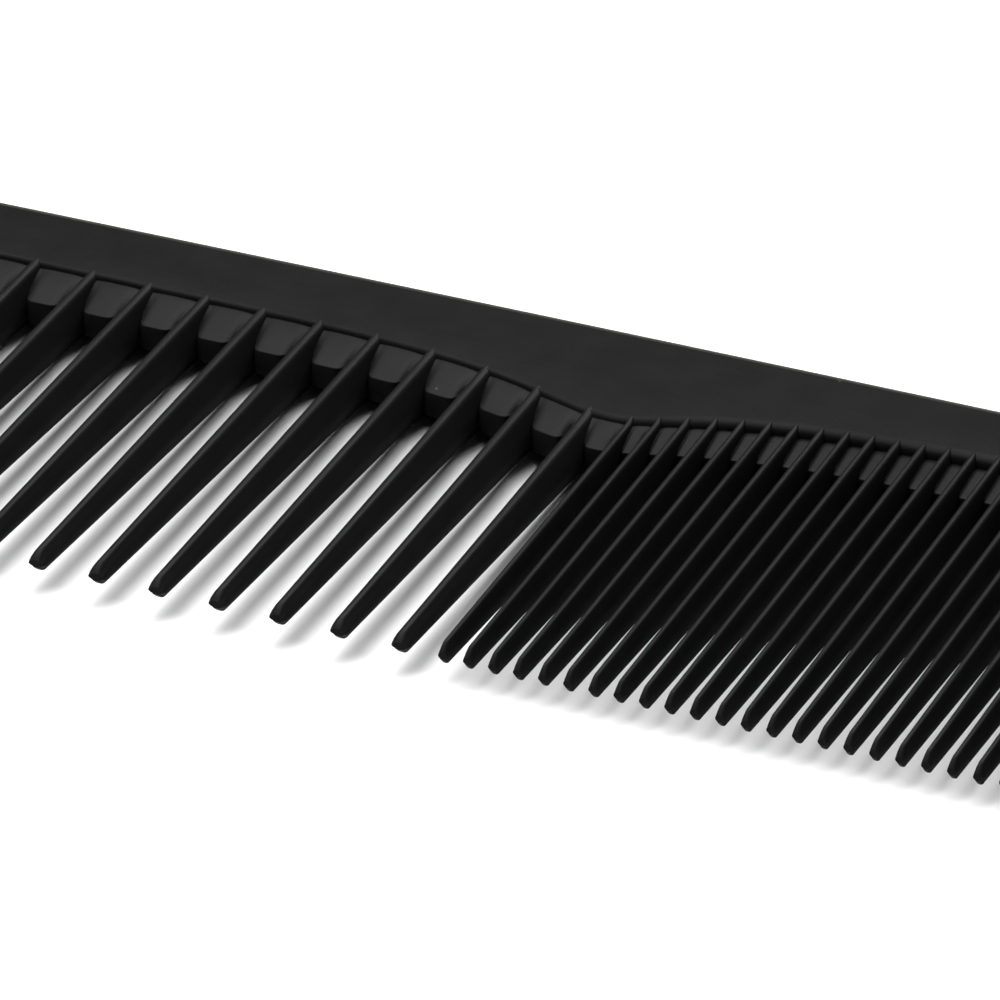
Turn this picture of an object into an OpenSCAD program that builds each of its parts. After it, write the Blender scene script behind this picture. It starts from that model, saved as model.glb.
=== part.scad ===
// Hair comb with a coarse half and a fine half, lying flat.
// X runs along the comb from the coarse end to the fine end, Y runs from the
// tooth tips to the back edge, Z is the thickness. The origin is the middle of
// the comb's box. All sizes are in millimetres.

/* [Overall] */
// Length of the comb from end to end
comb_length = 178; // [172:0.5:186]
// Width of the comb from the tooth tips to the top of the back
comb_width = 31; // [30.9:0.1:33]
// Thickness of the spine
spine_thickness = 2.9; // [2.85:0.05:3.4]

/* [Spine] */
// How far the back edge drops towards each end
back_bow = 1; // [0.2:0.1:1.2]
// Radius of the two back corners
corner_radius = 4; // [3:0.1:4]
// Radius that rounds the back edge over
back_round = 1.1; // [0.3:0.1:1.3]
// Height of the tooth roots above the comb's centre, coarse half
coarse_root = 9.45; // [9:0.05:10]
// Height of the tooth roots above the comb's centre, fine half
fine_root = 10.5; // [9:0.1:10.5]
// Height of the spine's lower edge where the two halves meet
junction_root = 6.4; // [5:0.1:9]
// How far the widening reaches into the coarse half
coarse_flare = 4.5; // [2:0.05:8]
// How far the widening reaches into the fine half
fine_flare = 5.75; // [2:0.05:8]

/* [Root web] */
// Thickness of the web where it leaves the spine
web_thickness = 2.2; // [1.2:0.1:2.3]
// Thickness of the web at its free edge
web_edge = 1.4; // [1:0.1:2]
// How far the web reaches from the spine between coarse teeth
coarse_web = 2.5; // [1:0.05:4]
// How far the web reaches from the spine between fine teeth
fine_web = 2.8; // [1:0.05:4]
// How far the web reaches from the spine where the two halves meet
junction_web = 1.9; // [1:0.05:4]

/* [Tooth profile] */
// Depth of every tooth at the spine, across the comb's thickness
root_depth = 2.8; // [2:0.02:2.8]
// Depth of every tooth at its tip
tip_depth = 1.2; // [0.6:0.02:1.6]
// Length of the blunted end of every tooth
tip_length = 0.3; // [0.2:0.1:1]

/* [Coarse teeth] */
// Distance from one coarse tooth to the next
coarse_pitch = 3.1; // [3:0.02:3.2]
// Number of coarse teeth
coarse_count = 26; // [24:1:26]
// Width of a coarse tooth at its root, at mid thickness
coarse_root_w = 1.2; // [0.9:0.05:1.5]
// Width of a coarse tooth halfway along
coarse_belly_w = 1.15; // [0.9:0.05:1.5]
// Width of a coarse tooth where its blunt end starts
coarse_tip_w = 0.85; // [0.5:0.05:1.2]
// Width of the flat ridge on a coarse tooth, at the root
coarse_ridge_w = 0.6; // [0.3:0.05:0.8]

/* [Fine teeth] */
// Distance from one fine tooth to the next
fine_pitch = 1.25; // [1.2:0.01:1.3]
// Number of fine teeth
fine_count = 66; // [60:3:66]
// Fine teeth grouped in one bank
bank_size = 3; // [3]
// Width of a fine tooth at its root, at mid thickness
fine_root_w = 0.62; // [0.5:0.02:0.8]
// Width of a fine tooth halfway along
fine_belly_w = 0.58; // [0.4:0.02:0.7]
// Width of a fine tooth where its blunt end starts
fine_tip_w = 0.5; // [0.3:0.02:0.6]
// Width of the flat ridge on a fine tooth, at the root
fine_ridge_w = 0.34; // [0.2:0.02:0.4]

/* [Guard teeth] */
// How far each guard tooth's outer edge leans in towards its tip
guard_lean = 1.5; // [0:0.1:2]
// Radius of the rounded end of each guard tooth
guard_tip_radius = 1.9; // [0.8:0.1:2]

/* [Hidden] */
half_length = comb_length / 2;
back_y = comb_width / 2;
tip_y = -comb_width / 2;
bow_radius = (pow(half_length, 2) + pow(back_bow, 2)) / (2 * back_bow);
corner_x = half_length - corner_radius;
corner_y = back_y_at(corner_x, 0) - corner_radius;
bow_steps = 24;
corner_steps = 8;
round_steps = 5;
ridge_taper = 0.6;
plastic = [0.13, 0.13, 0.14];

bank_count = fine_count / bank_size;
coarse_names = [for (i = [1:coarse_count]) str("coarse_tooth_", two_digits(i))];
bank_names = [for (i = [1:bank_count]) str("fine_teeth_bank_", two_digits(i))];

function two_digits(n) = n < 10 ? str("0", n) : str(n);

// Height of the back edge at x, on a back pulled in by inset.
function back_y_at(x, inset) =
    back_y - bow_radius + sqrt(pow(bow_radius - inset, 2) - pow(x, 2));

// How much of the widening is left at x: 1 where the halves meet, 0 far away.
function swell(x) =
    x < 0
        ? 2 / (exp(x / coarse_flare) + exp(-x / coarse_flare))
        : 1 / (1 + pow(x / fine_flare, 1.6));

// Height of the line where the spine ends and the teeth begin.
function root_y(x) =
    let (far = x < 0 ? coarse_root : fine_root)
    far - (far - junction_root) * swell(x);

// How far the web reaches from the root line at x to the closed end of a gap.
function web_depth(x) =
    let (far = x < 0 ? coarse_web : fine_web)
    far - (far - junction_web) * swell(x);

// The two x positions between which the teeth stand, at the guards' inner edges.
coarse_guard_x = -coarse_pitch * coarse_count - (coarse_pitch - coarse_root_w) / 2;
fine_guard_x = fine_pitch * fine_count + (fine_pitch - fine_root_w) / 2;

// The root line bends only midway between two teeth, so each tooth stands on a
// straight stretch of it. These are the bends, from the coarse guard to the fine one.
bends = concat(
    [coarse_guard_x],
    [for (i = [coarse_count:-1:0]) -coarse_pitch * i],
    [for (i = [1:fine_count]) fine_pitch * i],
    [fine_guard_x]
);

// A tooth stands between two bends a and b.
function tooth_x(a, b) = (a + b) / 2;
function tooth_root(a, b, x) = root_y(a) + (root_y(b) - root_y(a)) * (x - a) / (b - a);

// Half the tooth's depth at height y.
function half_depth(y) =
    (tip_depth + (root_depth - tip_depth) * (y - tip_y) / (coarse_root - tip_y)) / 2;

// Six corners of a tooth's section: two ridges and two edges at mid thickness.
// w holds the width at mid thickness and the ridge's width; scale shrinks the depth.
function section_offsets(w, depth) = [
    [-w[0] / 2, 0], [-w[1] / 2, depth], [w[1] / 2, depth],
    [w[0] / 2, 0], [w[1] / 2, -depth], [-w[1] / 2, -depth]
];
function level_ring(x, y, w, scale) =
    [for (p = section_offsets(w, half_depth(y) * scale)) [x + p[0], y, p[1]]];
function root_ring(a, b, w) =
    let (x = tooth_x(a, b), depth = half_depth(tooth_root(a, b, x)))
    [for (p = section_offsets(w, depth)) [x + p[0], tooth_root(a, b, x + p[0]), p[1]]];

// Triangles that join rings of n corners, and the faces of a closed six-cornered loft.
function side_faces(rings, n) = [
    for (r = [0:rings - 2], k = [0:n - 1], half = [0, 1])
        let (p = n * r + k, q = n * r + (k + 1) % n)
        half == 0 ? [p, q, p + n] : [q, q + n, p + n]
];
function loft_faces(rings) = concat(
    [[5, 4, 3, 2, 1, 0]],
    side_faces(rings, 6),
    [[for (k = [0:5]) 6 * (rings - 1) + k]]
);

// One tooth between the bends a and b. widths: root, belly, tip and ridge.
module tooth(a, b, widths) {
    x = tooth_x(a, b);
    belly_y = (tooth_root(a, b, x) + tip_y) / 2;
    ridge = widths[3];
    rings = concat(
        root_ring(a, b, [widths[0], ridge]),
        level_ring(x, belly_y, [widths[1], ridge * (1 + ridge_taper) / 2], 1),
        level_ring(x, tip_y + tip_length, [widths[2], ridge * ridge_taper], 1),
        level_ring(x, tip_y, [widths[2] * ridge_taper, ridge * ridge_taper / 2], ridge_taper)
    );
    polyhedron(points = rings, faces = loft_faces(4), convexity = 2);
}

coarse_widths = [coarse_root_w, coarse_belly_w, coarse_tip_w, coarse_ridge_w];
fine_widths = [fine_root_w, fine_belly_w, fine_tip_w, fine_ridge_w];

// Tooth 1 of each kind is the one nearest to the junction.
module coarse_tooth(i) {
    color(plastic)
        tooth(-coarse_pitch * i, -coarse_pitch * (i - 1), coarse_widths);
}

module fine_tooth(i) {
    tooth(fine_pitch * (i - 1), fine_pitch * i, fine_widths);
}

module fine_teeth_bank(bank) {
    color(plastic)
        for (i = [1:bank_size])
            fine_tooth((bank - 1) * bank_size + i);
}

// Plan of the back of the spine, pulled in by inset: flat front, bowed back and
// a rounded corner at each end.
function corner_arc(side, inset) = [
    for (i = [0:corner_steps])
        let (angle = 90 * i / corner_steps)
        [
            side * (corner_x + (corner_radius - inset) * cos(angle)),
            corner_y + (corner_radius - inset) * sin(angle)
        ]
];
function reversed(list) = [for (i = [len(list) - 1:-1:0]) list[i]];
function back_plan(inset) = concat(
    corner_arc(1, inset),
    [
        for (i = [1:bow_steps - 1])
            let (x = corner_x * (1 - 2 * i / bow_steps))
            [x, back_y_at(x, inset)]
    ],
    reversed(corner_arc(-1, inset))
);

module rounded_back() {
    hull()
        for (i = [0:round_steps])
            let (
                angle = 90 * i / round_steps,
                height = spine_thickness - 2 * back_round * (1 - sin(angle))
            )
            linear_extrude(height = height, center = true)
                polygon(back_plan(back_round * (1 - cos(angle))));
}

// The part of the spine in front of the rounded back, down to the tooth roots.
module root_apron() {
    root_points = [for (x = bends) [x, root_y(x)]];
    linear_extrude(height = spine_thickness, center = true)
        polygon(concat(root_points, [[fine_guard_x, corner_y], [coarse_guard_x, corner_y]]));
}

module spine() {
    color(plastic) {
        rounded_back();
        root_apron();
    }
}

// Half a tooth's width at height y and at distance z from mid thickness.
function flank(root, y, z, widths) =
    let (
        along = 2 * (root - y) / (root - tip_y),
        mid = widths[0] + (widths[1] - widths[0]) * along,
        ridge = widths[3] * (1 - (1 - ridge_taper) * along / 2)
    )
    (mid - (mid - ridge) * abs(z) / half_depth(y)) / 2;

// Where a land ends sideways: on the flank of the tooth between the bends a and b,
// or at the flat guard when there are no widths. side points from tooth to land.
function land_end(a, b, side, drop, z, widths) =
    let (
        x = tooth_x(a, b),
        root = tooth_root(a, b, x),
        end_x = widths == [] ? (side > 0 ? a : b) : x + side * flank(root, root - drop, z, widths)
    )
    [end_x, tooth_root(a, b, end_x) - drop, z];

// Eight corners of a land's section, drop below the root line and 2 * z thick.
function land_ring(a, m, b, drop, z, left, right) = [
    land_end(a, m, 1, drop, 0, left),
    land_end(a, m, 1, drop, z, left),
    [m, root_y(m) - drop, z],
    land_end(m, b, -1, drop, z, right),
    land_end(m, b, -1, drop, 0, right),
    land_end(m, b, -1, drop, -z, right),
    [m, root_y(m) - drop, -z],
    land_end(a, m, 1, drop, -z, left)
];

// The land that closes the gap at the bend m, between its neighbours a and b.
module land(a, m, b, left, right) {
    points = concat(
        land_ring(a, m, b, 0, web_thickness / 2, left, right),
        land_ring(a, m, b, web_depth(m), web_edge / 2, left, right)
    );
    faces = concat(
        [[7, 6, 2, 1, 0], [6, 5, 4, 3, 2]],
        side_faces(2, 8),
        [[8, 9, 10, 14, 15], [10, 11, 12, 13, 14]]
    );
    polyhedron(points = points, faces = faces, convexity = 4);
}

module coarse_root_web() {
    color(plastic)
        for (i = [1:coarse_count])
            land(
                bends[i - 1], bends[i], bends[i + 1],
                i == 1 ? [] : coarse_widths, coarse_widths
            );
}

module fine_root_web() {
    first = coarse_count + 1;
    last = coarse_count + fine_count + 1;
    color(plastic)
        for (i = [first:last])
            land(
                bends[i - 1], bends[i], bends[i + 1],
                i == first ? coarse_widths : fine_widths, i == last ? [] : fine_widths
            );
}

// Side view of a guard tooth: it thins towards the tip like the other teeth.
module guard_wedge() {
    rotate([90, 0, 90])
        linear_extrude(height = comb_length, center = true)
            polygon([
                [tip_y, -half_depth(tip_y)],
                [corner_y, -half_depth(corner_y)],
                [corner_y, half_depth(corner_y)],
                [tip_y, half_depth(tip_y)]
            ]);
}

// Plan of a guard tooth from its inner edge at inner_x to the comb's end.
module guard_plan(inner_x) {
    side = sign(inner_x);
    outer_x = half_length - guard_lean;
    tip_arc = [
        for (i = [0:corner_steps])
            let (angle = 90 * i / corner_steps)
            [
                side * (outer_x - guard_tip_radius * (1 - cos(angle))),
                tip_y + guard_tip_radius * (1 - sin(angle))
            ]
    ];
    inner_tip_x = abs(inner_x) + guard_lean / 2;
    inner_arc = [
        for (i = [corner_steps:-1:0])
            let (angle = 90 * i / corner_steps)
            [
                side * (inner_tip_x + guard_tip_radius * (1 - cos(angle))),
                tip_y + guard_tip_radius * (1 - sin(angle))
            ]
    ];
    polygon(concat([[side * half_length, corner_y]], tip_arc, inner_arc, [[inner_x, corner_y]]));
}

module guard(inner_x) {
    color(plastic)
        intersection() {
            linear_extrude(height = spine_thickness, center = true)
                guard_plan(inner_x);
            guard_wedge();
        }
}

spine();
coarse_root_web();
fine_root_web();
guard(coarse_guard_x);  // coarse_end_guard
guard(fine_guard_x);  // fine_end_guard
for (i = [1:coarse_count]) coarse_tooth(i);
for (i = [1:bank_count]) fine_teeth_bank(i);
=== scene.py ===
import math

import bmesh
import bpy
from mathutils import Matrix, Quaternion, Vector


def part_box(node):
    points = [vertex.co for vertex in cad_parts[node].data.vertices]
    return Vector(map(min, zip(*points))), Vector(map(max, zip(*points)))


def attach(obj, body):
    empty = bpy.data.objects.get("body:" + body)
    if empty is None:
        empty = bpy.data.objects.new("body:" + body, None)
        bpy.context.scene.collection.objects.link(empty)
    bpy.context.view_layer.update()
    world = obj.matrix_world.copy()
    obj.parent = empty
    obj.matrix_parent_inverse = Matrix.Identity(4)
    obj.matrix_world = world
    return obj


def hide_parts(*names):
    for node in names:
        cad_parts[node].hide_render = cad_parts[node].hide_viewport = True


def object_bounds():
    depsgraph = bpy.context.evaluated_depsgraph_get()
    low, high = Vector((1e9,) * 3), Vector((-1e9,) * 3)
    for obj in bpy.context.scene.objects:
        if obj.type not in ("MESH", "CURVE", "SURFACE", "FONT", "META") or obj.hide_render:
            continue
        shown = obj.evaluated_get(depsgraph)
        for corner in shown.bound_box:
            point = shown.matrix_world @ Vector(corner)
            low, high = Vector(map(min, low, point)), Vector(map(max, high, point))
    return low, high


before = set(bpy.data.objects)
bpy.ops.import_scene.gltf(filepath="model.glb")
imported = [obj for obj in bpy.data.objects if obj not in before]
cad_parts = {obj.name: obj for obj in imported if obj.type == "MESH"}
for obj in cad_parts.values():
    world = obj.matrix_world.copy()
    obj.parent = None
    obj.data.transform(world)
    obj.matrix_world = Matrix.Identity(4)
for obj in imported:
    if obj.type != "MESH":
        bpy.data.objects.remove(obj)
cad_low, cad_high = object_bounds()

MM = 0.001
BODY = "root"

# ---------------------------------------------------------------- sizes
# The comb's box, read from the frame: X along it, Y from tips to back, Z thick.
HALF_LENGTH = cad_high.x
BACK_Y = cad_high.y
TIP_Y = cad_low.y
FACE_Z = cad_high.z

# The spine's outline, as in the CAD model.
BACK_BOW = 1.0 * MM
CORNER_RADIUS = 4.0 * MM
BACK_ROUND = 1.1 * MM
BOW_RADIUS = (HALF_LENGTH ** 2 + BACK_BOW ** 2) / (2 * BACK_BOW)
CORNER_X = HALF_LENGTH - CORNER_RADIUS

# The root line: where the spine ends and the teeth begin.
COARSE_ROOT = 9.45 * MM
FINE_ROOT = 10.5 * MM
JUNCTION_ROOT = 6.4 * MM
COARSE_FLARE = 4.5 * MM
FINE_FLARE = 5.75 * MM

# How far the web reaches from the root line to the closed end of a gap.
COARSE_WEB = 2.5 * MM
FINE_WEB = 2.8 * MM
JUNCTION_WEB = 1.9 * MM

# Depth of a tooth across the comb's thickness, at the root line and at the tip.
ROOT_DEPTH = 2.8 * MM
TIP_DEPTH = 1.2 * MM

# Widths of a tooth: at mid thickness (root, belly, tip) and of its ridge (root, tip).
COARSE = dict(mid=(1.2, 1.16, 0.9), ridge=(0.64, 0.44), tip=0.62)
FINE = dict(mid=(0.62, 0.58, 0.5), ridge=(0.37, 0.27), tip=0.5)


def back_y_at(x, inset=0.0):
    return BACK_Y - BOW_RADIUS + math.sqrt((BOW_RADIUS - inset) ** 2 - x * x)


CORNER_Y = back_y_at(CORNER_X) - CORNER_RADIUS


def blend(a, b, t):
    return a + (b - a) * t


def swell(x):
    """How much of the spine's widening is left at x: 1 where the two halves meet."""
    if x < 0:
        return 1 / math.cosh(x / COARSE_FLARE)
    return 1 / (1 + (x / FINE_FLARE) ** 1.6)


def root_y(x):
    """Height of the root line at x: it dips where the two halves meet."""
    return blend(COARSE_ROOT if x < 0 else FINE_ROOT, JUNCTION_ROOT, swell(x))


def web_depth(x):
    """How far the web reaches from the root line at x."""
    return blend(COARSE_WEB if x < 0 else FINE_WEB, JUNCTION_WEB, swell(x))


def half_depth(y):
    """Half the depth of a tooth at height y."""
    along = (y - TIP_Y) / (COARSE_ROOT - TIP_Y)
    return (TIP_DEPTH + (ROOT_DEPTH - TIP_DEPTH) * along) / 2


# ---------------------------------------------------------------- where the teeth stand
def node_names(prefix):
    return sorted(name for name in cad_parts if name.startswith(prefix))


def middle_x(node):
    low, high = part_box(node)
    return (low[0] + high[0]) / 2


coarse_nodes = node_names("coarse_tooth_")
bank_nodes = node_names("fine_teeth_bank_")
TEETH_IN_BANK = 3
FINE_PITCH = (middle_x(bank_nodes[1]) - middle_x(bank_nodes[0])) / TEETH_IN_BANK
coarse_x = [middle_x(name) for name in coarse_nodes]
fine_x = [
    middle_x(bank) + FINE_PITCH * (k - (TEETH_IN_BANK - 1) / 2)
    for bank in bank_nodes
    for k in range(TEETH_IN_BANK)
]
COARSE_GUARD_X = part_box("coarse_end_guard")[1][0]
FINE_GUARD_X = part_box("fine_end_guard")[0][0]


# ---------------------------------------------------------------- meshes
SHARP_ANGLE = math.radians(36)


def make_piece(name, verts, faces, material, replaced):
    """A smooth mesh piece that rides on the comb and stands for CAD nodes."""
    mesh = bpy.data.meshes.new(name)
    mesh.from_pydata(verts, [], faces)
    mesh.validate()
    piece = bpy.data.objects.new(name, mesh)
    bpy.context.scene.collection.objects.link(piece)
    mesh.materials.append(material)
    for polygon in mesh.polygons:
        polygon.use_smooth = True
    shell = bmesh.new()
    shell.from_mesh(mesh)
    bmesh.ops.recalc_face_normals(shell, faces=shell.faces)
    shell.to_mesh(mesh)
    shell.free()
    mesh.set_sharp_from_angle(angle=SHARP_ANGLE)
    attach(piece, BODY)
    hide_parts(*replaced)
    return piece


def ring_faces(rings, count, start=0):
    """Quads between closed rings of count points each."""
    faces = []
    for r in range(rings - 1):
        for k in range(count):
            a = start + r * count + k
            b = start + r * count + (k + 1) % count
            faces.append((a, b, b + count, a + count))
    return faces


def loft(rings, start=0):
    """A closed solid through rings of points, as vertices and faces."""
    count = len(rings[0])
    verts = [point for ring in rings for point in ring]
    faces = ring_faces(len(rings), count, start)
    faces.append(tuple(start + k for k in reversed(range(count))))
    faces.append(tuple(start + (len(rings) - 1) * count + k for k in range(count)))
    return verts, faces


# ---------------------------------------------------------------- teeth
FLANK_STEPS = 5
FILLET_STEPS = 3
BODY_RINGS = 14
TIP_RINGS = 6
TIP_NARROWING = 0.16
TIP_THINNING = 0.7
# How far a ridge runs on into the spine's face, and the pairs of reach and width
# with which it narrows to a point. It ends just under the face.
RIDGE_REACH = 0.65 * MM
RIDGE_END = ((1.0, 0.08), (0.75, 0.5), (0.4, 0.85))
RIDGE_PROUD = 0.008 * MM
RIDGE_SUNK = -0.01 * MM
FLANK_BULGE = (1.25, 1.9)


def tooth_section(half_mid, half_ridge, depth, bulge):
    """Right upper quarter of a tooth's section, from the ridge to mid thickness."""
    fillet = min(half_ridge * 0.8, depth * 0.3)
    points = [(0.0, depth), (half_ridge - fillet, depth)]
    for k in range(1, FILLET_STEPS + 1):
        angle = math.radians(75 * k / FILLET_STEPS)
        points.append(
            (half_ridge - fillet * (1 - math.sin(angle)), depth - fillet * (1 - math.cos(angle)))
        )
    start_x, start_z = points[-1]
    for k in range(1, FLANK_STEPS + 1):
        s = k / FLANK_STEPS
        x = start_x + (half_mid - start_x) * (1 - (1 - s) ** bulge)
        points.append((x, start_z * (1 - s)))
    return points


def whole_section(quarter):
    """All four quarters, clockwise seen from the tips, starting at the upper ridge."""
    right_lower = [(x, -z) for x, z in reversed(quarter[:-1])]
    left_lower = [(-x, -z) for x, z in quarter[1:]]
    left_upper = [(-x, z) for x, z in reversed(quarter[1:-1])]
    return quarter + right_lower + left_lower + left_upper


def quadratic(values, t):
    """A smooth curve through three values at t = 0, 0.5 and 1."""
    a, b, c = values
    return a * (1 - t) * (1 - 2 * t) + b * 4 * t * (1 - t) + c * t * (2 * t - 1)


def tooth_rings(x, kind):
    """Rings of one tooth, from inside the spine to its blunt tip."""
    root = root_y(x)
    tip_length = kind["tip"] * MM
    body_end = TIP_Y + tip_length
    rings = []

    def section_at(y):
        t = max(0.0, (root - y) / (root - TIP_Y))
        half_mid = quadratic(kind["mid"], t) * MM / 2
        half_ridge = blend(kind["ridge"][0], kind["ridge"][1], t) * MM / 2
        return half_mid, half_ridge, half_depth(y), blend(*FLANK_BULGE, t)

    # The ridge runs past the groove and dies out in the spine's face as a point.
    half_mid, half_ridge, _, bulge = section_at(root)
    for reach, width in RIDGE_END:
        y = root + RIDGE_REACH * reach
        top = FACE_Z + blend(RIDGE_PROUD, RIDGE_SUNK, reach ** 3)
        section = tooth_section(half_mid * width, half_ridge * width, top, bulge)
        rings.append([(x + px, y, pz) for px, pz in whole_section(section)])
    for k in range(BODY_RINGS + 1):
        y = blend(root, body_end, k / BODY_RINGS)
        section = tooth_section(*section_at(y))
        rings.append([(x + px, y, pz) for px, pz in whole_section(section)])
    # The end is a chisel: it thins towards an edge across the tooth at mid thickness.
    half_mid, half_ridge, depth, bulge = section_at(body_end)
    for k in range(1, TIP_RINGS + 1):
        t = k / TIP_RINGS
        y = body_end - tip_length * t
        narrow = 1 - TIP_NARROWING * t ** 3
        lower = 1 - TIP_THINNING * t ** 1.5
        section = tooth_section(half_mid * narrow, half_ridge * narrow, depth * lower, bulge)
        rings.append([(x + px, y, pz) for px, pz in whole_section(section)])
    return rings


def make_tooth(name, x, kind, material, nodes):
    verts, faces = loft(tooth_rings(x, kind))
    return make_piece(name, verts, faces, material, nodes)


# ---------------------------------------------------------------- root web
# Height of a land at the spine, on each half far from the junction.
COARSE_LAND_TOP = 1.2 * MM
FINE_LAND_TOP = 0.86 * MM
LAND_EDGE_TOP = 0.66 * MM
LAND_VALLEY = 0.015 * MM
LAND_COLUMNS = 18
LAND_ROWS = 10
LAND_EDGE_ROUND = 0.07 * MM
LAND_OVERLAP = 0.15 * MM


def land_top(x):
    if x < 0:
        return COARSE_LAND_TOP
    return blend(FINE_LAND_TOP, COARSE_LAND_TOP, swell(1.3 * x))


def land_rings(left_x, right_x, left_half, right_half, tongue):
    """Rings of one crowned land, from the left tooth's middle to the right one's."""
    rings = []
    top_z = land_top((left_x + right_x) / 2)
    for column in range(LAND_COLUMNS + 1):
        x = blend(left_x, right_x, column / LAND_COLUMNS)
        inner_left, inner_right = left_x + left_half, right_x - right_half
        across = 2 * (x - inner_left) / (inner_right - inner_left) - 1
        side = min(1.1, abs(across))
        edge_y = root_y(x) - web_depth(x) + tongue * side ** 6
        back = root_y(x) + LAND_OVERLAP
        sink = LAND_VALLEY * side ** 4
        upper = []
        for row in range(LAND_ROWS + 1):
            v = row / LAND_ROWS
            z = blend(top_z, LAND_EDGE_TOP, v ** 1.4) - sink * (1 - 0.3 * v)
            upper.append((x, blend(back, edge_y + LAND_EDGE_ROUND, v), z))
        low_z = upper[-1][2]
        for k in (1, 2, 3):
            angle = math.radians(30 * k)
            upper.append(
                (
                    x,
                    edge_y + LAND_EDGE_ROUND * (1 - math.sin(angle)),
                    low_z - LAND_EDGE_ROUND * (1 - math.cos(angle)),
                )
            )
        rings.append(upper + [(px, py, -pz) for px, py, pz in reversed(upper)])
    return rings


def make_lands(name, gaps, material, node):
    """One piece that holds every land of one half of the comb."""
    verts, faces = [], []
    for gap in gaps:
        new_verts, new_faces = loft(land_rings(*gap), len(verts))
        verts += new_verts
        faces += new_faces
    return make_piece(name, verts, faces, material, [node])


# ---------------------------------------------------------------- spine
CORNER_STEPS = 14
STATION_STEP = 0.55 * MM
ROUND_STEPS = 7
# How the spine's face turns down to the land: distance above the root line and
# drop below the face. On the coarse half the turn is shorter.
FRONT_EDGE = ((0.0, 1.45), (0.0, 0.62), (0.02, 0.36), (0.08, 0.22), (0.17, 0.13), (0.3, 0.06),
              (0.46, 0.018), (0.66, 0.0))
COARSE_TURN = 0.45
TURN_BLEND = 1.2 * MM


def turn_length(x):
    return blend(COARSE_TURN, 1.0, 1 / (1 + math.exp(-x / TURN_BLEND)))


def spine_stations():
    """Back outline points with their outward direction, from the coarse end to the fine end."""
    stations = []
    for k in range(CORNER_STEPS + 1):
        angle = math.radians(90 * k / CORNER_STEPS)
        stations.append(("corner", -1, angle))
    steps = int(2 * CORNER_X / STATION_STEP)
    marks = sorted(
        {round(blend(-CORNER_X, CORNER_X, k / steps), 7) for k in range(1, steps)}
        | {round(COARSE_GUARD_X, 7), round(FINE_GUARD_X, 7)}
    )
    stations += [("bow", 0, x) for x in marks]
    for k in reversed(range(CORNER_STEPS + 1)):
        stations.append(("corner", 1, math.radians(90 * k / CORNER_STEPS)))
    return stations


def back_point(station, inset):
    kind, side, value = station
    if kind == "bow":
        return value, back_y_at(value, inset)
    radius = CORNER_RADIUS - inset
    return side * (CORNER_X + radius * math.cos(value)), CORNER_Y + radius * math.sin(value)


def front_y(x):
    """Where the spine ends towards the teeth: on the root line, or at a guard tooth."""
    inside = COARSE_GUARD_X <= x <= FINE_GUARD_X
    return root_y(x) if inside else CORNER_Y


def spine_ring(station):
    x, back = back_point(station, BACK_ROUND)
    front = front_y(x)
    room = min(1.0, max(0.0, (back - front) / (1.2 * MM))) * turn_length(x)
    at_guard = not COARSE_GUARD_X < x < FINE_GUARD_X
    upper = []
    for above, drop in FRONT_EDGE:
        fall = drop if drop > 1.0 or not at_guard else drop * 0.02
        upper.append((x, front + above * MM * room, FACE_Z - fall * MM))
    for t in (0.35, 0.7, 0.98, 1.0):
        start = upper[len(FRONT_EDGE) - 1][1]
        upper.append((x, blend(start, back, t), FACE_Z))
    for k in range(1, ROUND_STEPS + 1):
        angle = math.radians(90 * k / ROUND_STEPS)
        px, py = back_point(station, BACK_ROUND * (1 - math.sin(angle)))
        upper.append((px, py, FACE_Z - BACK_ROUND * (1 - math.cos(angle))))
    lower = [(px, py, -pz) for px, py, pz in reversed(upper[1:])]
    return upper + lower


def make_spine(material):
    verts, faces = loft([spine_ring(station) for station in spine_stations()])
    return make_piece("spine_moulding", verts, faces, material, ["spine"])


# ---------------------------------------------------------------- guard teeth
GUARD_LEAN = 1.5 * MM
GUARD_TIP_RADIUS = 1.9 * MM
GUARD_SIDE_STEPS = 14
GUARD_ARC_STEPS = 8


def guard_path(inner_x):
    """Plan of a guard tooth as pairs of outer and inner points with their normals."""
    side = 1 if inner_x > 0 else -1
    outer_tip = HALF_LENGTH - GUARD_LEAN
    inner_tip = abs(inner_x) + GUARD_LEAN / 2
    pairs = []
    for k in range(GUARD_SIDE_STEPS):
        t = k / GUARD_SIDE_STEPS
        y = blend(CORNER_Y, TIP_Y + GUARD_TIP_RADIUS, t)
        outer = (side * blend(HALF_LENGTH, outer_tip, t), y, side, 0.0)
        inner = (side * blend(abs(inner_x), inner_tip, t), y, -side, 0.0)
        pairs.append((outer, inner))
    for k in range(GUARD_ARC_STEPS + 1):
        angle = math.radians(90 * k / GUARD_ARC_STEPS)
        cosine, sine = math.cos(angle), math.sin(angle)
        y = TIP_Y + GUARD_TIP_RADIUS * (1 - sine)
        reach = GUARD_TIP_RADIUS * (1 - cosine)
        outer = (side * (outer_tip - reach), y, side * cosine, -sine)
        inner = (side * (inner_tip + reach), y, -side * cosine, -sine)
        pairs.append((outer, inner))
    return pairs


def mirrored(points):
    """The same points on the comb's lower face."""
    return [(px, py, -pz) for px, py, pz in points]


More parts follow.
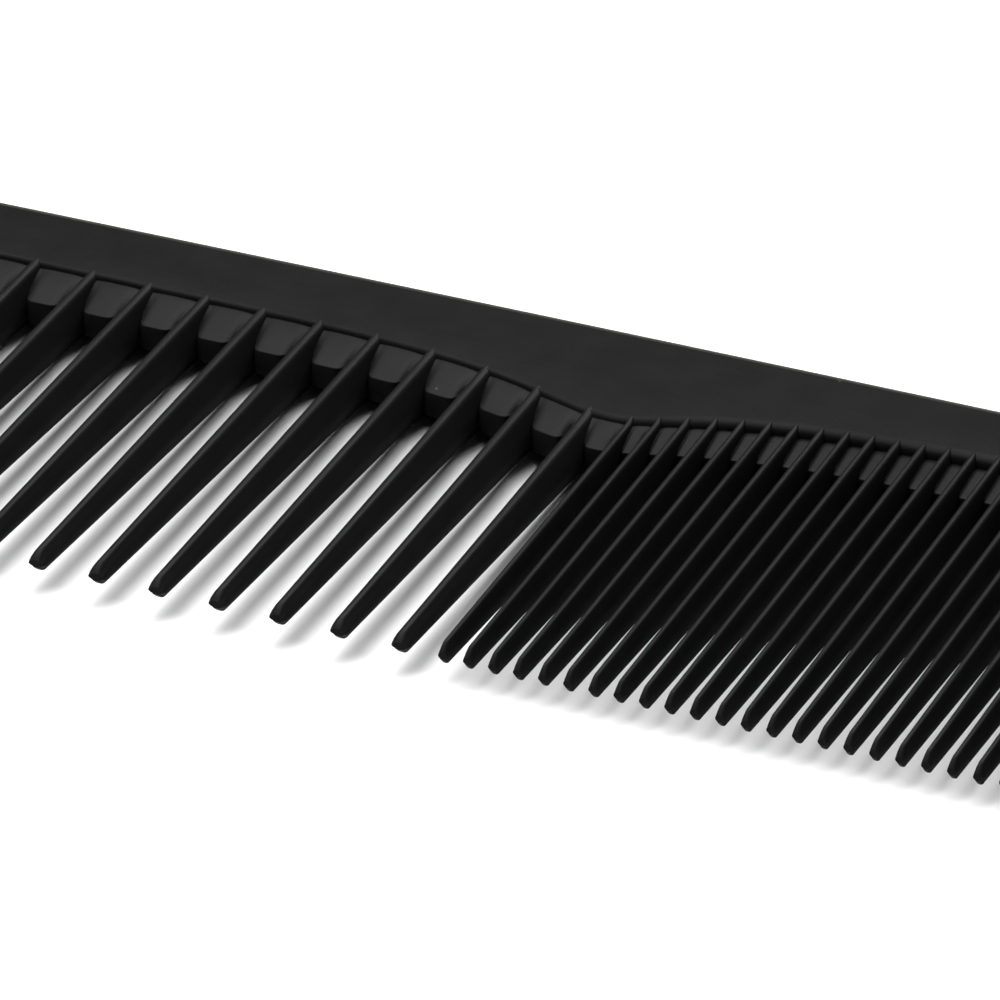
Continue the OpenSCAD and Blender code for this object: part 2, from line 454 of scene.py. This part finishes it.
def guard_section(outer, inner):
    """A rounded bar's section between an outer and an inner edge point."""
    y = outer[1]
    depth = half_depth(y)
    fade = (y - TIP_Y) / (CORNER_Y - TIP_Y)
    outer_round = min(blend(0.42 * MM, BACK_ROUND, fade ** 2), depth * 0.95)
    inner_round = min(blend(0.4 * MM, 0.3 * MM, fade), depth * 0.95)
    ring = []

    def rounded(point, radius, order):
        for k in order:
            angle = math.radians(90 * k / ROUND_STEPS)
            inset = radius * (1 - math.sin(angle))
            z = depth - radius * (1 - math.cos(angle))
            ring.append((point[0] - point[2] * inset, point[1] - point[3] * inset, z))

    rounded(outer, outer_round, range(ROUND_STEPS + 1))
    upper_outer = list(ring)
    ring.clear()
    rounded(inner, inner_round, range(ROUND_STEPS + 1))
    upper_inner = list(ring)
    return (
        upper_outer
        + list(reversed(mirrored(upper_outer)))
        + mirrored(upper_inner)
        + list(reversed(upper_inner))
    )


def make_guard(name, inner_x, material, node):
    rings = [guard_section(outer, inner) for outer, inner in guard_path(inner_x)]
    if inner_x > 0:
        rings = [list(reversed(ring)) for ring in rings]
    verts, faces = loft(rings)
    return make_piece(name, verts, faces, material, [node])


# ---------------------------------------------------------------- materials
def new_material(name):
    material = bpy.data.materials.new(name)
    material.use_nodes = True
    nodes, links = material.node_tree.nodes, material.node_tree.links
    return material, nodes, links, nodes["Principled BSDF"]


def black_plastic(name, dark, light, roughness, specular, grain, back_sheen, dullness):
    """Black moulded plastic: uneven tone and gloss, fine grain, hairline scuffs, dust.

    back_sheen is how strongly a paler line is painted along the back edge where it
    turns away from the face, a painted reflection of the white surface behind it;
    and dullness is the roughness that steep faces have beyond the broad ones.
    """
    material, nodes, links, shader = new_material(name)
    place = nodes.new("ShaderNodeTexCoord")

    tone = nodes.new("ShaderNodeTexNoise")
    tone.inputs["Scale"].default_value = 420.0
    tone.inputs["Detail"].default_value = 5.0
    links.new(place.outputs["Object"], tone.inputs["Vector"])
    colour = nodes.new("ShaderNodeValToRGB")
    colour.color_ramp.elements[0].position = 0.3
    colour.color_ramp.elements[0].color = (*dark, 1)
    colour.color_ramp.elements[1].position = 0.72
    colour.color_ramp.elements[1].color = (*light, 1)
    links.new(tone.outputs["Fac"], colour.inputs["Fac"])

    # A few grains of pale dust.
    dust = nodes.new("ShaderNodeTexVoronoi")
    dust.inputs["Scale"].default_value = 330.0
    dust.inputs["Randomness"].default_value = 1.0
    links.new(place.outputs["Object"], dust.inputs["Vector"])
    speck = nodes.new("ShaderNodeMapRange")
    speck.inputs["From Min"].default_value = 0.03
    speck.inputs["From Max"].default_value = 0.01
    links.new(dust.outputs["Distance"], speck.inputs["Value"])
    rare = nodes.new("ShaderNodeSeparateColor")
    links.new(dust.outputs["Color"], rare.inputs["Color"])
    chosen = nodes.new("ShaderNodeMath")
    chosen.operation = "GREATER_THAN"
    chosen.inputs[1].default_value = 0.72
    links.new(rare.outputs["Red"], chosen.inputs[0])
    dusty = nodes.new("ShaderNodeMath")
    dusty.operation = "MULTIPLY"
    links.new(speck.outputs["Result"], dusty.inputs[0])
    links.new(chosen.outputs["Value"], dusty.inputs[1])
    mixed = nodes.new("ShaderNodeMix")
    mixed.data_type = "RGBA"
    mixed.inputs["B"].default_value = (0.075, 0.075, 0.07, 1)
    links.new(dusty.outputs["Value"], mixed.inputs["Factor"])
    links.new(colour.outputs["Color"], mixed.inputs["A"])

    # Painted reflection: a paler narrow line is painted along the back edge where it turns away
    # from the face, standing in for the white surface it reflects there.
    lean = nodes.new("ShaderNodeSeparateXYZ")
    links.new(place.outputs["Normal"], lean.inputs["Vector"])
    sheen_band = nodes.new("ShaderNodeMapRange")
    sheen_band.inputs["From Min"].default_value = 0.05
    sheen_band.inputs["From Max"].default_value = 0.2
    sheen_band.inputs["To Max"].default_value = back_sheen
    links.new(lean.outputs["Y"], sheen_band.inputs["Value"])
    beyond = nodes.new("ShaderNodeMapRange")
    beyond.inputs["From Min"].default_value = 0.3
    beyond.inputs["From Max"].default_value = 0.5
    beyond.inputs["To Min"].default_value = 1.0
    beyond.inputs["To Max"].default_value = 0.0
    links.new(lean.outputs["Y"], beyond.inputs["Value"])
    line = nodes.new("ShaderNodeMath")
    line.operation = "MULTIPLY"
    links.new(sheen_band.outputs["Result"], line.inputs[0])
    links.new(beyond.outputs["Result"], line.inputs[1])
    painted_sheen = nodes.new("ShaderNodeMix")
    painted_sheen.data_type = "RGBA"
    painted_sheen.inputs["B"].default_value = (0.045, 0.043, 0.038, 1)
    links.new(line.outputs["Value"], painted_sheen.inputs["Factor"])
    links.new(mixed.outputs["Result"], painted_sheen.inputs["A"])
    links.new(painted_sheen.outputs["Result"], shader.inputs["Base Color"])

    # Gloss that varies over a few millimetres.
    patch = nodes.new("ShaderNodeTexNoise")
    patch.inputs["Scale"].default_value = 160.0
    patch.inputs["Detail"].default_value = 6.0
    links.new(place.outputs["Object"], patch.inputs["Vector"])
    gloss = nodes.new("ShaderNodeMapRange")
    gloss.inputs["From Min"].default_value = 0.3
    gloss.inputs["From Max"].default_value = 0.7
    gloss.inputs["To Min"].default_value = roughness[0]
    gloss.inputs["To Max"].default_value = roughness[1]
    links.new(patch.outputs["Fac"], gloss.inputs["Value"])

    # The steep sides between the teeth keep the dull finish of the mould.
    side = nodes.new("ShaderNodeMath")
    side.operation = "ABSOLUTE"
    links.new(lean.outputs["Z"], side.inputs[0])
    dull = nodes.new("ShaderNodeMapRange")
    dull.inputs["From Min"].default_value = 0.78
    dull.inputs["From Max"].default_value = 0.45
    dull.inputs["To Max"].default_value = dullness
    links.new(side.outputs["Value"], dull.inputs["Value"])
    finish = nodes.new("ShaderNodeMath")
    finish.operation = "ADD"
    links.new(gloss.outputs["Result"], finish.inputs[0])
    links.new(dull.outputs["Result"], finish.inputs[1])
    links.new(finish.outputs["Value"], shader.inputs["Roughness"])

    # Hairline scuffs that run slantwise across the comb, and a fine grain.
    stretch = nodes.new("ShaderNodeMapping")
    stretch.inputs["Rotation"].default_value = (0, 0, math.radians(28))
    stretch.inputs["Scale"].default_value = (0.12, 2.4, 1.0)
    links.new(place.outputs["Object"], stretch.inputs["Vector"])
    scuff = nodes.new("ShaderNodeTexNoise")
    scuff.inputs["Scale"].default_value = 1500.0
    scuff.inputs["Detail"].default_value = 2.0
    links.new(stretch.outputs["Vector"], scuff.inputs["Vector"])
    fine = nodes.new("ShaderNodeTexNoise")
    fine.inputs["Scale"].default_value = 9000.0
    fine.inputs["Detail"].default_value = 3.0
    links.new(place.outputs["Object"], fine.inputs["Vector"])
    height = nodes.new("ShaderNodeMath")
    height.operation = "ADD"
    links.new(scuff.outputs["Fac"], height.inputs[0])
    links.new(fine.outputs["Fac"], height.inputs[1])
    bump = nodes.new("ShaderNodeBump")
    bump.inputs["Strength"].default_value = grain
    bump.inputs["Distance"].default_value = 0.00002
    links.new(height.outputs["Value"], bump.inputs["Height"])
    links.new(bump.outputs["Normal"], shader.inputs["Normal"])
    shader.inputs["IOR"].default_value = 1.5
    shader.inputs["Specular IOR Level"].default_value = specular
    return material


def white_surface():
    material, nodes, links, shader = new_material("white_paper")
    place = nodes.new("ShaderNodeTexCoord")
    grain = nodes.new("ShaderNodeTexNoise")
    grain.inputs["Scale"].default_value = 900.0
    links.new(place.outputs["Object"], grain.inputs["Vector"])
    colour = nodes.new("ShaderNodeValToRGB")
    colour.color_ramp.elements[0].color = (0.93, 0.93, 0.93, 1)
    colour.color_ramp.elements[1].color = (0.96, 0.96, 0.96, 1)
    links.new(grain.outputs["Fac"], colour.inputs["Fac"])
    links.new(colour.outputs["Color"], shader.inputs["Base Color"])
    shader.inputs["Roughness"].default_value = 0.8
    shader.inputs["Specular IOR Level"].default_value = 0.2
    return material


# ---------------------------------------------------------------- camera, floor and light
CAMERA_AZIMUTH = math.radians(23.31)
CAMERA_ELEVATION = math.radians(29.05)
CAMERA_ROLL = math.radians(0.57)
CAMERA_DISTANCE = 403.1 * MM
CAMERA_AIM = Vector((-2.865, -0.871, 0.0)) * MM


def make_camera():
    data = bpy.data.cameras.new("camera")
    data.lens = 306
    data.sensor_width = 36
    data.clip_start = 0.01
    data.clip_end = 20
    camera = bpy.data.objects.new("camera", data)
    bpy.context.scene.collection.objects.link(camera)
    back = Vector(
        (
            math.sin(CAMERA_AZIMUTH) * math.cos(CAMERA_ELEVATION),
            -math.cos(CAMERA_AZIMUTH) * math.cos(CAMERA_ELEVATION),
            math.sin(CAMERA_ELEVATION),
        )
    )
    camera.location = CAMERA_AIM + back * CAMERA_DISTANCE
    camera.rotation_mode = "QUATERNION"
    level = (-back).to_track_quat("-Z", "Y")
    camera.rotation_quaternion = level @ Quaternion((0, 0, 1), CAMERA_ROLL)
    bpy.context.scene.camera = camera


def make_floor():
    size = 3.0
    mesh = bpy.data.meshes.new("floor")
    corners = [(-size, -size), (size, -size), (size, size), (-size, size)]
    mesh.from_pydata([(x, y, cad_low.z) for x, y in corners], [], [(0, 1, 2, 3)])
    floor = bpy.data.objects.new("floor", mesh)
    mesh.materials.append(white_surface())
    bpy.context.scene.collection.objects.link(floor)


def area_light(name, place, target, size, power):
    data = bpy.data.lights.new(name, "AREA")
    data.shape = "RECTANGLE"
    data.size, data.size_y = size
    data.energy = power
    light = bpy.data.objects.new(name, data)
    bpy.context.scene.collection.objects.link(light)
    light.location = place
    light.rotation_mode = "QUATERNION"
    light.rotation_quaternion = (Vector(target) - Vector(place)).to_track_quat("-Z", "Y")


def make_light():
    """A wide softbox overhead, a weak fill, and a room that is paler towards its ceiling."""
    world = bpy.data.worlds.new("studio")
    bpy.context.scene.world = world
    world.use_nodes = True
    nodes, links = world.node_tree.nodes, world.node_tree.links
    direction = nodes.new("ShaderNodeTexCoord")
    split = nodes.new("ShaderNodeSeparateXYZ")
    links.new(direction.outputs["Generated"], split.inputs["Vector"])
    level = nodes.new("ShaderNodeMapRange")
    level.inputs["From Min"].default_value = 0.0
    level.inputs["From Max"].default_value = 1.0
    level.inputs["To Min"].default_value = 0.04
    level.inputs["To Max"].default_value = 0.3
    links.new(split.outputs["Z"], level.inputs["Value"])
    links.new(level.outputs["Result"], nodes["Background"].inputs["Strength"])
    area_light("overhead", (-0.3, 0.2, 0.9), (0, 0, 0), (1.8, 0.8), 25)
    area_light("fill", (0.9, -0.6, 0.5), (0, 0, 0), (0.6, 0.6), 1.2)


# ---------------------------------------------------------------- the comb
# Only the spine gets the painted reflection line along its back edge; the teeth and lands get
# none.
spine_plastic = black_plastic(
    "spine_plastic", (0.0065, 0.0065, 0.0067), (0.0094, 0.0094, 0.0096),
    roughness=(0.42, 0.54), specular=0.05, grain=0.5, back_sheen=1.0, dullness=0.0,
)
tooth_plastic = black_plastic(
    "tooth_plastic", (0.0062, 0.0062, 0.0064), (0.0085, 0.0085, 0.0087),
    roughness=(0.42, 0.52), specular=0.105, grain=0.35, back_sheen=0.0, dullness=0.45,
)
land_plastic = black_plastic(
    "land_plastic", (0.0062, 0.0062, 0.0064), (0.0085, 0.0085, 0.0087),
    roughness=(0.42, 0.52), specular=0.075, grain=0.5, back_sheen=0.0, dullness=0.45,
)

make_camera()
make_floor()
make_light()

make_spine(spine_plastic)
make_guard("coarse_guard_moulding", COARSE_GUARD_X, spine_plastic, "coarse_end_guard")
make_guard("fine_guard_moulding", FINE_GUARD_X, spine_plastic, "fine_end_guard")

for number, (x, node) in enumerate(zip(coarse_x, coarse_nodes), 1):
    make_tooth(f"coarse_blade_{number:02d}", x, COARSE, tooth_plastic, [node])
for number, x in enumerate(fine_x, 1):
    bank = bank_nodes[(number - 1) // TEETH_IN_BANK]
    make_tooth(f"fine_blade_{number:02d}", x, FINE, tooth_plastic, [bank])

HALF_COARSE = COARSE["mid"][0] * MM / 2
HALF_FINE = FINE["mid"][0] * MM / 2
COARSE_TONGUE = 0.5 * MM
FINE_TONGUE = 0.3 * MM
coarse_gaps = [
    (left, right, HALF_COARSE, HALF_COARSE, COARSE_TONGUE)
    for right, left in zip(coarse_x, coarse_x[1:])
]
coarse_gaps.append(
    (COARSE_GUARD_X - HALF_COARSE, coarse_x[-1], HALF_COARSE, HALF_COARSE, COARSE_TONGUE)
)
fine_gaps = [(coarse_x[0], fine_x[0], HALF_COARSE, HALF_FINE, FINE_TONGUE)]
fine_gaps += [
    (left, right, HALF_FINE, HALF_FINE, FINE_TONGUE)
    for left, right in zip(fine_x, fine_x[1:])
]
fine_gaps.append((fine_x[-1], FINE_GUARD_X + HALF_FINE, HALF_FINE, HALF_FINE, FINE_TONGUE))
make_lands("coarse_lands", coarse_gaps, land_plastic, "coarse_root_web")
make_lands("fine_lands", fine_gaps, land_plastic, "fine_root_web")

bpy.context.scene.view_settings.view_transform = "Standard"
